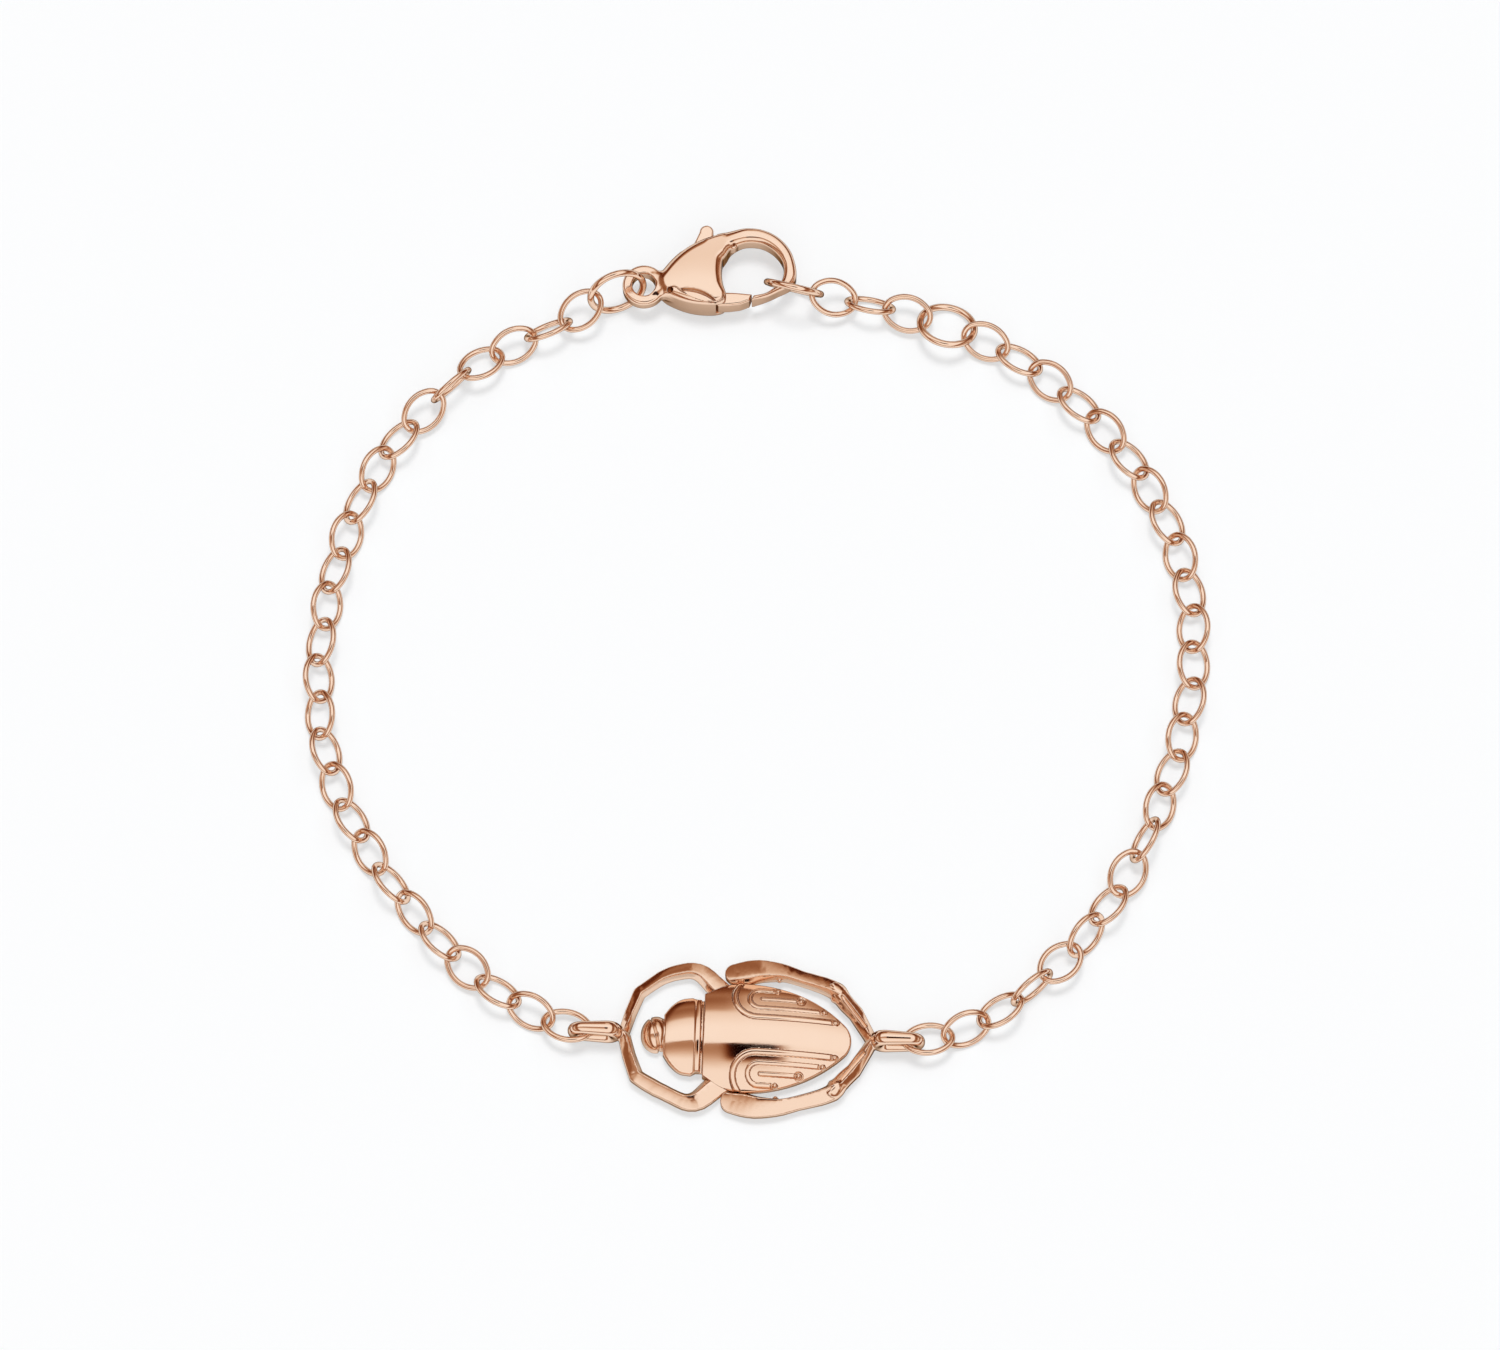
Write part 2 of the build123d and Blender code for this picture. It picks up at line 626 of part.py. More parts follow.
right_spans = [link_pitch] * len(tail_rolls) + [ring_span] + [link_pitch] * len(right_rolls)
right_rests = ([link_rest(roll) for roll in tail_rolls]
               + [rest_height(ring_outer_diameter, ring_wire, sizing_ring_roll)]
               + [link_rest(roll) for roll in right_rolls])
right_joints = strand_joints(right_start, right_finish, right_route, 1, right_spans,
                             joint_heights(right_start.Z, right_finish.Z, right_rests))
split = len(tail_rolls)
tail_chain = links_along(right_joints[:split + 1], tail_rolls, -1)
right_chain = links_along(right_joints[split + 1:], right_rolls, -1)

round_ring = Torus(ring_line_radius, ring_wire / 2)
jump_ring = laid(round_ring, jump_centre * 2 - left_start, left_start,
                 Vector(-jump_heading.Y, jump_heading.X, 0) * -1, jump_ring_roll)
end_ring = laid(round_ring, hook_centre * 2 - right_start, right_start,
                Vector(-hook_heading.Y, hook_heading.X, 0), end_ring_roll)
sizing_low, sizing_high = right_joints[split], right_joints[split + 1]
sizing_ring = laid(round_ring, sizing_low, sizing_high,
                   Vector(sizing_low.Y - sizing_high.Y, sizing_high.X - sizing_low.X, 0), sizing_ring_roll)

nodes = {
    "scarab": [scarab_place * scarab()],
    "chain_left": left_chain,
    "chain_right": right_chain,
    "chain_end": tail_chain,
    "jump_ring": [jump_ring],
    "end_ring": [end_ring],
    "sizing_ring": [sizing_ring],
    "clasp_shell": [clasp_place * clasp_shell()],
    "clasp_lever": [clasp_place * lever()],
    "clasp_pin": [clasp_place * pin_bore()],
}

# The origin is the centre of the whole bracelet's footprint, on the table.
whole = Compound([piece for pieces in nodes.values() for solid in pieces for piece in solid.solids()])
box = whole.bounding_box()
home = Pos(-(box.min.X + box.max.X) / 2, -(box.min.Y + box.max.Y) / 2, -box.min.Z)

os.makedirs("parts", exist_ok=True)
for name, pieces in nodes.items():
    solids = [home * solid for piece in pieces for solid in piece.solids()]
    export_step(solids[0] if len(solids) == 1 else Compound(solids), f"parts/{name}.step")
    print(name, len(solids), round(sum(solid.volume for solid in solids), 3))
pivot = (home * clasp_place * Pos(pivot_along, pivot_across, clasp_thickness / 2)).position
print("origin moved by", home.position, "box", box.size)
print("lever pivot", pivot)
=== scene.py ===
import json
import math

import bpy
import numpy as np
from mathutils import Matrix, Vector


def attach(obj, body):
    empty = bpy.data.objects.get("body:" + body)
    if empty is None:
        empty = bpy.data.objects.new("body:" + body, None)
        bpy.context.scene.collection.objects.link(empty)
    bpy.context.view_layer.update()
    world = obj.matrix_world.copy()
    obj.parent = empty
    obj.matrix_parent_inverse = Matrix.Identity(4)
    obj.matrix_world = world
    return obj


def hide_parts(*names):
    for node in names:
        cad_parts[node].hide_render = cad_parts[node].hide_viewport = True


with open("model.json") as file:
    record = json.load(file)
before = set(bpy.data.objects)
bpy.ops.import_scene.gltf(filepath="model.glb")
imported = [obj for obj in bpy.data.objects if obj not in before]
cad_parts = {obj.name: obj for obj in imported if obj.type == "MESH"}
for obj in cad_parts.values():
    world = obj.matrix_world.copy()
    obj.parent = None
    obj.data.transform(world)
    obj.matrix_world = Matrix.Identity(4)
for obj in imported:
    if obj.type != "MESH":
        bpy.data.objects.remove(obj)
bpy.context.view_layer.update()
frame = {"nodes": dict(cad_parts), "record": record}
MM = 0.001

# Camera: above the near side, far enough off that the loop is seen almost without perspective.
IMAGE_WIDTH = 1500
CAMERA_ELEVATION = 70.0
CAMERA_DISTANCE = 600.0 * MM
PIXELS_PER_MM = 14.95
SENSOR = 36.0

# Place of the scarab and of the clasp, from the mount on the scarab's back and the lever's pivot.
SCARAB_TURN = math.radians(-2.0)
MOUNT_ALONG = 1.0
mount = [m for m in frame["record"]["mounts"] if m["name"] == "scarab_back"][0]["pos_m"]
scarab_x = mount[0] / MM - MOUNT_ALONG * math.cos(SCARAB_TURN)
scarab_y = mount[1] / MM - MOUNT_ALONG * math.sin(SCARAB_TURN)
PIVOT_ALONG = -1.1
PIVOT_ACROSS = -0.6
pivot = frame["record"]["behaviour"]["joints"][0]["pos_m"]
clasp_x = pivot[0] / MM - PIVOT_ALONG
clasp_y = pivot[1] / MM - PIVOT_ACROSS
TARGET = Vector(((scarab_x + 0.244) * MM, (scarab_y + 25.741) * MM, 0.0))

# Oval link and round wire sizes, as in the part.
LINK_WIRE = 0.39 * MM
LINK_LENGTH = 3.565 * MM
LINK_WIDTH = 2.66 * MM
LINK_END_RADIUS = 0.85 * MM
RING_WIRE = 0.47 * MM
RING_OUTER = 4.2 * MM
WIRE_SIDES = 16
LINK_STEPS = 48
RING_STEPS = 60


def new_material(name):
    """A new node material with its node and link lists and its shader."""
    material = bpy.data.materials.new(name)
    material.use_nodes = True
    nodes = material.node_tree.nodes
    links = material.node_tree.links
    return material, nodes, links, nodes["Principled BSDF"]


def rose_gold(name, roughness, colour, ripple, ripple_scale, scratch):
    """Polished rose gold: a soft hand-polished ripple, fine hairlines and slightly uneven gloss."""
    material, nodes, links, shader = new_material(name)
    shader.inputs["Metallic"].default_value = 1.0
    shader.inputs["Specular Tint"].default_value = (0.12, 0.06, 0.03, 1.0)
    place = nodes.new("ShaderNodeTexCoord")
    cloud = nodes.new("ShaderNodeTexNoise")
    cloud.inputs["Scale"].default_value = 420.0
    cloud.inputs["Detail"].default_value = 3.0
    links.new(place.outputs["Object"], cloud.inputs["Vector"])
    tint = nodes.new("ShaderNodeMix")
    tint.data_type = "RGBA"
    tint.inputs[6].default_value = (colour[0] * 0.97, colour[1] * 0.94, colour[2] * 0.92, 1.0)
    tint.inputs[7].default_value = (*colour, 1.0)
    links.new(cloud.outputs["Fac"], tint.inputs["Factor"])
    links.new(tint.outputs[2], shader.inputs["Base Color"])
    gloss = nodes.new("ShaderNodeMapRange")
    gloss.inputs["From Min"].default_value = 0.3
    gloss.inputs["From Max"].default_value = 0.75
    gloss.inputs["To Min"].default_value = roughness * 0.75
    gloss.inputs["To Max"].default_value = roughness * 1.45
    links.new(cloud.outputs["Fac"], gloss.inputs["Value"])
    links.new(gloss.outputs["Result"], shader.inputs["Roughness"])
    wave = nodes.new("ShaderNodeTexNoise")
    wave.inputs["Scale"].default_value = ripple_scale
    wave.inputs["Detail"].default_value = 1.0
    links.new(place.outputs["Object"], wave.inputs["Vector"])
    hair = nodes.new("ShaderNodeTexNoise")
    hair.inputs["Scale"].default_value = 9000.0
    hair.inputs["Detail"].default_value = 2.0
    stretch = nodes.new("ShaderNodeMapping")
    stretch.inputs["Scale"].default_value = (0.12, 1.0, 1.0)
    links.new(place.outputs["Object"], stretch.inputs["Vector"])
    links.new(stretch.outputs["Vector"], hair.inputs["Vector"])
    soft = nodes.new("ShaderNodeBump")
    soft.inputs["Strength"].default_value = ripple
    soft.inputs["Distance"].default_value = 0.00004
    links.new(wave.outputs["Fac"], soft.inputs["Height"])
    fine = nodes.new("ShaderNodeBump")
    fine.inputs["Strength"].default_value = scratch
    fine.inputs["Distance"].default_value = 0.000002
    links.new(hair.outputs["Fac"], fine.inputs["Height"])
    links.new(soft.outputs["Normal"], fine.inputs["Normal"])
    links.new(fine.outputs["Normal"], shader.inputs["Normal"])
    return material


def make_mesh(name, points, faces, material, body, normals=None):
    """A finished piece from points in metres and faces of equal size, riding on a body."""
    mesh = bpy.data.meshes.new(name)
    mesh.vertices.add(len(points))
    mesh.vertices.foreach_set("co", np.asarray(points, dtype=np.float32).ravel())
    mesh.loops.add(faces.size)
    mesh.loops.foreach_set("vertex_index", faces.astype(np.int32).ravel())
    mesh.polygons.add(len(faces))
    mesh.polygons.foreach_set("loop_start", np.arange(0, faces.size, faces.shape[1], dtype=np.int32))
    mesh.update(calc_edges=True)
    mesh.shade_smooth()
    if normals is not None:
        mesh.normals_split_custom_set_from_vertices(normals.tolist())
    piece = bpy.data.objects.new(name, mesh)
    bpy.context.scene.collection.objects.link(piece)
    piece.data.materials.append(material)
    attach(piece, body)
    return piece


def oval_line(length, width, wire, end_radius, steps):
    """Centre line of an oval ring in its own plane, and the outward direction at each point."""
    half_length = (length - wire) / 2
    half_width = (width - wire) / 2
    end_centre = half_length - end_radius
    side_radius = (end_centre ** 2 + half_width ** 2 - end_radius ** 2) / (2 * (half_width - end_radius))
    side_centre = side_radius - half_width
    turn = math.atan2(side_centre, end_centre)
    end_run = end_radius * turn
    side_run = side_radius * (math.pi / 2 - turn)
    end_steps = max(4, int(steps * end_run / (end_run + side_run) / 2))
    side_steps = max(3, steps // 2 - end_steps)
    line = []
    for angle in np.linspace(-turn, turn, end_steps, endpoint=False):
        line.append((end_centre + end_radius * math.cos(angle), end_radius * math.sin(angle), angle))
    for angle in np.linspace(turn, math.pi - turn, side_steps, endpoint=False):
        line.append((side_radius * math.cos(angle), -side_centre + side_radius * math.sin(angle), angle))
    line += [(-x, -y, angle + math.pi) for x, y, angle in line]
    return np.array(line)


def ring_line(outer, wire, steps):
    """Centre line of a round ring in its own plane, and the outward direction at each point."""
    radius = (outer - wire) / 2
    angle = np.linspace(0, 2 * math.pi, steps, endpoint=False)
    return np.stack([radius * np.cos(angle), radius * np.sin(angle), angle], axis=1)


def tube(line, wire, sides):
    """A closed round wire along a flat line: its points (x, y, z) and faces."""
    around = np.linspace(0, 2 * math.pi, sides, endpoint=False)
    out = wire / 2 * np.cos(around)
    up = wire / 2 * np.sin(around)
    points = np.zeros((len(line), sides, 3))
    points[:, :, 0] = line[:, None, 0] + np.cos(line[:, None, 2]) * out
    points[:, :, 1] = line[:, None, 1] + np.sin(line[:, None, 2]) * out
    points[:, :, 2] = up
    count = len(line)
    faces = []
    for i in range(count):
        for j in range(sides):
            a, b = i * sides + j, i * sides + (j + 1) % sides
            c, d = ((i + 1) % count) * sides + (j + 1) % sides, ((i + 1) % count) * sides + j
            faces.append((a, d, c, b))
    return points.reshape(-1, 3), np.array(faces)


def loose_solids(node):
    """Each loose solid of a node: its centre, its long, cross and thin directions."""
    mesh = frame["nodes"][node].data
    count = len(mesh.vertices)
    points = np.zeros(count * 3)
    mesh.vertices.foreach_get("co", points)
    points = points.reshape(-1, 3)
    mesh.calc_loop_triangles()
    triangles = np.zeros(len(mesh.loop_triangles) * 3, dtype=np.int64)
    mesh.loop_triangles.foreach_get("vertices", triangles)
    triangles = triangles.reshape(-1, 3)
    key = np.round(points * 1e7).astype(np.int64)
    _, same = np.unique(key, axis=0, return_inverse=True)
    same = same.reshape(-1)
    group = np.arange(same.max() + 1)

    def root(i):
        """The first corner of the group that a corner belongs to."""
        while group[i] != i:
            group[i] = group[group[i]]
            i = group[i]
        return i

    for a, b, c in same[triangles]:
        ra, rb, rc = root(a), root(b), root(c)
        low = min(ra, rb, rc)
        group[ra] = group[rb] = group[rc] = low
    roots = np.array([root(i) for i in range(len(group))])
    owner = roots[same[triangles[:, 0]]]
    solids = []
    for one in np.unique(owner):
        corner = points[triangles[owner == one]]
        middle = corner.mean(axis=1)
        area = np.linalg.norm(np.cross(corner[:, 1] - corner[:, 0], corner[:, 2] - corner[:, 0]), axis=1)
        centre = (middle * area[:, None]).sum(axis=0) / area.sum()
        spread = np.einsum("i,ij,ik->jk", area, middle - centre, middle - centre)
        _, directions = np.linalg.eigh(spread)
        solids.append((centre, directions[:, 2], directions[:, 1], directions[:, 0]))
    return solids


def chain_piece(name, node, line, wire, material):
    """Smooth links in the places of the node's loose solids."""
    shape, faces = tube(line, wire, WIRE_SIDES)
    points = []
    quads = []
    for centre, long, cross, thin in loose_solids(node):
        thin = np.cross(long, cross)
        placed = centre + shape[:, :1] * long + shape[:, 1:2] * cross + shape[:, 2:3] * thin
        quads.append(faces + sum(len(p) for p in points))
        points.append(placed)
    piece = make_mesh(name, np.concatenate(points), np.concatenate(quads), material, "bracelet")
    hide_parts(node)
    return piece


# Castings are made as distance fields: each form is a function that is negative inside the metal.
# They are in millimetres, in the casting's own directions: u along, v across, z up.


def both(a, b, radius):
    """Where both forms are metal, with the edge between them rounded."""
    return (np.minimum(np.maximum(a, b), -radius)
            + np.sqrt(np.maximum(a + radius, 0) ** 2 + np.maximum(b + radius, 0) ** 2))


def either(a, b, radius):
    """Where one form or the other is metal, with a fillet between them."""
    return -both(-a, -b, radius)


def less(a, b, radius):
    """The first form with the second cut out of it."""
    return both(a, -b, radius)


def block(u, v, half_u, half_v, radius):
    """A rounded rectangle in plan."""
    du = np.abs(u) - (half_u - radius)
    dv = np.abs(v) - (half_v - radius)
    return (np.sqrt(np.maximum(du, 0) ** 2 + np.maximum(dv, 0) ** 2)
            + np.minimum(np.maximum(du, dv), 0) - radius)


def to_line(u, v, start, end):
    """Distance to a straight run in plan, and the share of the run at the nearest point."""
    du, dv = end[0] - start[0], end[1] - start[1]
    share = np.clip(((u - start[0]) * du + (v - start[1]) * dv) / (du * du + dv * dv), 0, 1)
    return np.sqrt((u - start[0] - share * du) ** 2 + (v - start[1] - share * dv) ** 2), share


def to_path(u, v, points):
    """Distance to a path of straight runs in plan."""
    best = None
    for start, end in zip(points[:-1], points[1:]):
        near, _ = to_line(u, v, start, end)
        best = near if best is None else np.minimum(best, near)
    return best


def outline(u, v, points):
    """Distance to a closed outline in plan, negative inside."""
    best = None
    inside = None
    for start, end in zip(points, points[1:] + points[:1]):
        near, _ = to_line(u, v, start, end)
        best = near if best is None else np.minimum(best, near)
        if start[1] == end[1]:
            continue
        spans = (v >= min(start[1], end[1])) & (v < max(start[1], end[1]))
        meets = start[0] + (v - start[1]) * (end[0] - start[0]) / (end[1] - start[1])
        crosses = spans & (u < meets)
        inside = crosses if inside is None else inside ^ crosses
    return np.where(inside, -best, best)


def smooth_line(points, steps, closed=False):
    """A smooth curve through a few points, as many short runs."""
    rows = [np.array(p, dtype=float) for p in points]
    if closed:
        rows = [rows[-1]] + rows + rows[:2]
    else:
        rows = [2 * rows[0] - rows[1]] + rows + [2 * rows[-1] - rows[-2]]
    line = []
    for before, here, there, after in zip(rows[:-3], rows[1:-2], rows[2:-1], rows[3:]):
        k0 = 0.0
        k1 = math.sqrt(np.linalg.norm(here - before))
        k2 = k1 + math.sqrt(np.linalg.norm(there - here))
        k3 = k2 + math.sqrt(np.linalg.norm(after - there))
        for k in np.linspace(k1, k2, steps, endpoint=False):
            a1 = (before * (k1 - k) + here * (k - k0)) / (k1 - k0)
            a2 = (here * (k2 - k) + there * (k - k1)) / (k2 - k1)
            a3 = (there * (k3 - k) + after * (k - k2)) / (k3 - k2)
            b1 = (a1 * (k2 - k) + a2 * (k - k0)) / (k2 - k0)
            b2 = (a2 * (k3 - k) + a3 * (k - k1)) / (k3 - k1)
            line.append(tuple((b1 * (k2 - k) + b2 * (k - k1)) / (k2 - k1)))
    if not closed:
        line.append(tuple(rows[-2]))
    return line


def arc(centre, radius, start, sweep, steps):
    """Points along an arc; its start and sweep are in degrees."""
    angles = [math.radians(start + sweep * i / steps) for i in range(steps + 1)]
    return [(centre[0] + radius * math.cos(a), centre[1] + radius * math.sin(a)) for a in angles]


def from_point(u, v, point):
    """Distance to a point in plan."""
    return np.sqrt((u - point[0]) ** 2 + (v - point[1]) ** 2)


def from_centre(u, v, z, centre, stretch):
    """Distance to a point in space, divided by a stretch in each direction."""
    return np.sqrt(sum(((p - c) / s) ** 2 for p, c, s in zip((u, v, z), centre, stretch)))


def barrel(u, v, z, crest_place, crest, crest_radius, cross_radius):
    """A dome curved both ways."""
    lengthwise = np.sqrt((u - crest_place) ** 2 + (z - crest + crest_radius) ** 2)
    return np.sqrt((lengthwise - (crest_radius - cross_radius)) ** 2 + v ** 2) - cross_radius


def skin(form, low, high, step):
    """The surface of a form within a box: points, faces and normals. There is one point in each
    cell of the grid that the surface crosses, and the points are then drawn onto the surface."""
    sizes = [int(math.ceil((b - a) / step)) + 1 for a, b in zip(low, high)]
    axes = [low[i] + step * np.arange(sizes[i]) for i in range(3)]
    field = form(axes[0][:, None, None], axes[1][None, :, None], axes[2][None, None, :])
    field = np.broadcast_to(field, sizes).astype(np.float32)
    inside = field < 0
    cells = [n - 1 for n in sizes]
    total = cells[0] * cells[1] * cells[2]
    sums = np.zeros((total, 3))
    counts = np.zeros(total)
    quads = []
    for axis in range(3):
        first = [slice(None)] * 3
        second = [slice(None)] * 3
        first[axis] = slice(0, -1)
        second[axis] = slice(1, None)
        change = inside[tuple(first)] != inside[tuple(second)]
        at = np.argwhere(change)
        a = field[tuple(first)][change]
        b = field[tuple(second)][change]
        place = at.astype(float)
        place[:, axis] += a / (a - b)
        others = [(axis + 1) % 3, (axis + 2) % 3]
        ring = []
        for back in ((1, 1), (0, 1), (0, 0), (1, 0)):
            cell = at.copy()
            cell[:, others[0]] -= back[0]
            cell[:, others[1]] -= back[1]
            ring.append((cell[:, 0] * cells[1] + cell[:, 1]) * cells[2] + cell[:, 2])
            good = np.all((cell >= 0) & (cell < cells), axis=1)
            if not good.all():
                raise ValueError("a form reaches the edge of its box")
            for i in range(3):
                sums[:, i] += np.bincount(ring[-1], weights=place[:, i], minlength=total)
            counts += np.bincount(ring[-1], minlength=total)
        ring = np.stack(ring, axis=1)
        flip = a > 0
        ring[flip] = ring[flip][:, ::-1]
        quads.append(ring)
    used = np.flatnonzero(counts)
    index = np.full(total, -1)
    index[used] = np.arange(len(used))
    points = sums[used] / counts[used][:, None] * step + np.array(low)
    faces = index[np.concatenate(quads)]

    def slope(p, reach):
        """The form's steepest rise at each point."""
        out = np.zeros_like(p)
        for i in range(3):
            ahead = p.copy()
            behind = p.copy()
            ahead[:, i] += reach
            behind[:, i] -= reach
            out[:, i] = (form(*ahead.T) - form(*behind.T)) / (2 * reach)
        return out

    start = points.copy()
    for _ in range(2):
        g = slope(points, step * 0.2)
        move = -form(*points.T)[:, None] * g / np.maximum((g ** 2).sum(axis=1), 0.05)[:, None]
        points = start + np.clip(points + move - start, -step * 0.6, step * 0.6)
    g = slope(points, step * 0.3)
    normals = g / np.maximum(np.linalg.norm(g, axis=1), 1e-9)[:, None]
    return points, faces, normals


def cast_piece(name, form, low, high, step, place, turn, material, body, node):
    """A form's surface as a finished piece, in the place of a node."""
    points, faces, normals = skin(form, low, high, step)
    c, s = math.cos(turn), math.sin(turn)
    turned = np.array([[c, s, 0], [-s, c, 0], [0, 0, 1]])
    points = (points @ turned + np.array([place[0], place[1], 0])) * MM
    piece = make_mesh(name, points, faces, material, body, normals @ turned)
    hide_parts(node)
    return piece


# Scarab sizes, as in the part.
UNDERSIDE = 0.45
WING = dict(crest_place=-0.5, crest=2.1, crest_radius=22.5, cross_radius=6.28)
SHIELD = dict(crest_place=-3.2, crest=1.75, crest_radius=6.0, cross_radius=4.44)
WING_FRONT = -2.83
LEG_REACH = 8.2
LEG_SPREAD = 4.87
LEG_WIDTH = 0.92
LEG_HEIGHT = 1.2
# Columns: along, across, width, top, place of the ridge across the leg (1 outer edge, -1 inner edge).
FRONT_LEG = [
    (-0.180, 0.600, 1.50, 0.94, -0.40),
    (-0.280, 0.755, 1.46, 0.99, -0.42),
    (-0.360, 0.880, 1.32, 1.04, -0.45),
    (-0.440, 0.930, 1.14, 1.05, -0.45),
    (-0.530, 0.905, 1.04, 1.04, -0.45),
    (-0.700, 0.785, 0.98, 1.02, -0.45),
    (-0.870, 0.590, 0.92, 1.02, -0.42),
    (-0.935, 0.300, 0.86, 1.10, -0.35),
    (-0.975, 0.060, 0.80, 1.30, -0.15),
    (-1.000, 0.000, 0.80, 1.42, 0.00),
]
FRONT_KNEE = 6
HIND_LEG = [
    (-0.100, 0.905, 1.60, 1.00, -0.55),
    (-0.010, 0.930, 1.78, 1.10, -0.58),
    (0.085, 0.960, 1.66, 1.16, -0.60),
    (0.190, 0.962, 1.46, 1.14, -0.60),
    (0.300, 0.945, 1.24, 1.08, -0.58),
    (0.430, 0.880, 1.12, 1.02, -0.55),
    (0.610, 0.790, 1.22, 1.10, -0.50),
    (0.700, 0.722, 1.28, 1.18, -0.40),
]
SHIN = [
    (0.715, 0.700, 1.20, 1.16, 0.00),
    (0.800, 0.525, 1.16, 1.16, 0.00),
    (0.870, 0.405, 1.10, 1.15, 0.00),
    (0.975, 0.110, 0.88, 1.28, 0.00),
    (1.010, 0.000, 0.80, 1.42, 0.00),
]


def smooth_rows(table):
    """The rows of a table with one more between each two, on a smooth curve."""
    rows = np.array(table)
    before = np.vstack([rows[:1], rows[:-2]])
    after = np.vstack([rows[2:], rows[-1:]])
    middle = (9 * (rows[:-1] + rows[1:]) - before - after) / 16
    smooth = [rows[0]]
    for between, row in zip(middle, rows[1:]):
        smooth += [between, row]
    return smooth


def half_wing_outline():
    """Outer line of one wing case, from its front corner to the tail."""
    half_width, widest, tip, tip_radius, front_half = 3.76, -0.2, 6.92, 1.51, 2.82
    fullness = 0.79
    run = tip - tip_radius - widest
    side_radius = (run ** 2 + half_width ** 2 - tip_radius ** 2) / (2 * (half_width - tip_radius))
    fall = side_radius - half_width
    shoulder = ((WING_FRONT + widest) / 2, front_half + (half_width - front_half) * fullness)
    line = smooth_line([(WING_FRONT, front_half), shoulder, (widest, half_width)], 5)
    reach = side_radius / (side_radius - tip_radius)
    touch = (widest + run * reach, -fall + fall * reach)
    sweep = math.degrees(math.atan2(touch[0] - widest, touch[1] + fall))
    line += arc((widest, -fall), side_radius, 90, -sweep, 12)[1:]
    line += arc((tip - tip_radius, 0), tip_radius, 90 - sweep, sweep - 90, 6)[1:]
    return line


def half_shield_outline():
    """Outer line of one half of the shield, from the wing cases to its front corner."""
    half_width, side, front, front_half = 2.68, -3.6, -5.45, 1.38
    return ([(WING_FRONT + 0.165, 2.5), (WING_FRONT - 0.45, 2.5)]
            + smooth_line([(side, half_width), (-4.35, 2.55), (-5.0, 2.02), (front, front_half)], 5))


def mirrored(line):
    """A closed outline from its far half."""
    return line + [(u, -v) for u, v in reversed(line) if v > 0.001]


WING_LINE = mirrored(half_wing_outline())
SHIELD_LINE = mirrored(half_shield_outline())


# The fine sunk line beside a rib: its place and width as shares of the rib's width, and its depth.
RIB_LINE_PLACE = 0.56
RIB_LINE_WIDTH = 0.13
RIB_LINE_DEPTH = 0.075


def rib(distance, width, rise):
    """A low rounded bead along a line, with a fine sunk line at each side."""
    swell = np.sqrt(np.clip(1 - (2 * distance / width) ** 2, 0, 1))
    sunk = np.exp(-((distance - width * RIB_LINE_PLACE) / (width * RIB_LINE_WIDTH)) ** 2)
    return rise * swell - RIB_LINE_DEPTH * sunk


OUTER_RIB = [(5.9, 1.2), (0.68, 1.2)] + arc((0.68, 2.7), 1.5, 270, -130, 12)[1:]
INNER_RIB = [(5.1, 1.89), (0.85, 1.89)] + arc((0.85, 2.58), 0.69, 270, -180, 10)[1:] + [(2.0, 3.27)]
BAR_RIB = [(3.55, 2.58), (1.0, 2.58)]
# Columns: path, width, rise.
RIBS = [(OUTER_RIB, 0.46, 0.15), (INNER_RIB, 0.36, 0.11), (BAR_RIB, 0.34, 0.11)]
RIB_SHIFT = 0.05
BEADS = [OUTER_RIB[0], INNER_RIB[0], INNER_RIB[-1], BAR_RIB[0]]
BEAD_RADIUS = 0.19
BEAD_RISE = 0.2
BEAD_LINE_RADIUS = 0.24
BEAD_LINE_WIDTH = 0.06
BEAD_LINE_DEPTH = 0.07


def wing_relief(u, v):
    """Height that the ribs and beads add to a wing case."""
    side = np.abs(v + RIB_SHIFT)
    height = 0
    for path, width, rise in RIBS:
        height = height + rib(to_path(u, side, path), width, rise)
    for place in BEADS:
        near = from_point(u, side, place)
        bead = BEAD_RISE * np.sqrt(np.clip(1 - (near / BEAD_RADIUS) ** 2, 0, 1))
        sunk = BEAD_LINE_DEPTH * np.exp(-((near - BEAD_LINE_RADIUS) / BEAD_LINE_WIDTH) ** 2)
        height = np.maximum(height, bead) - sunk
    return height


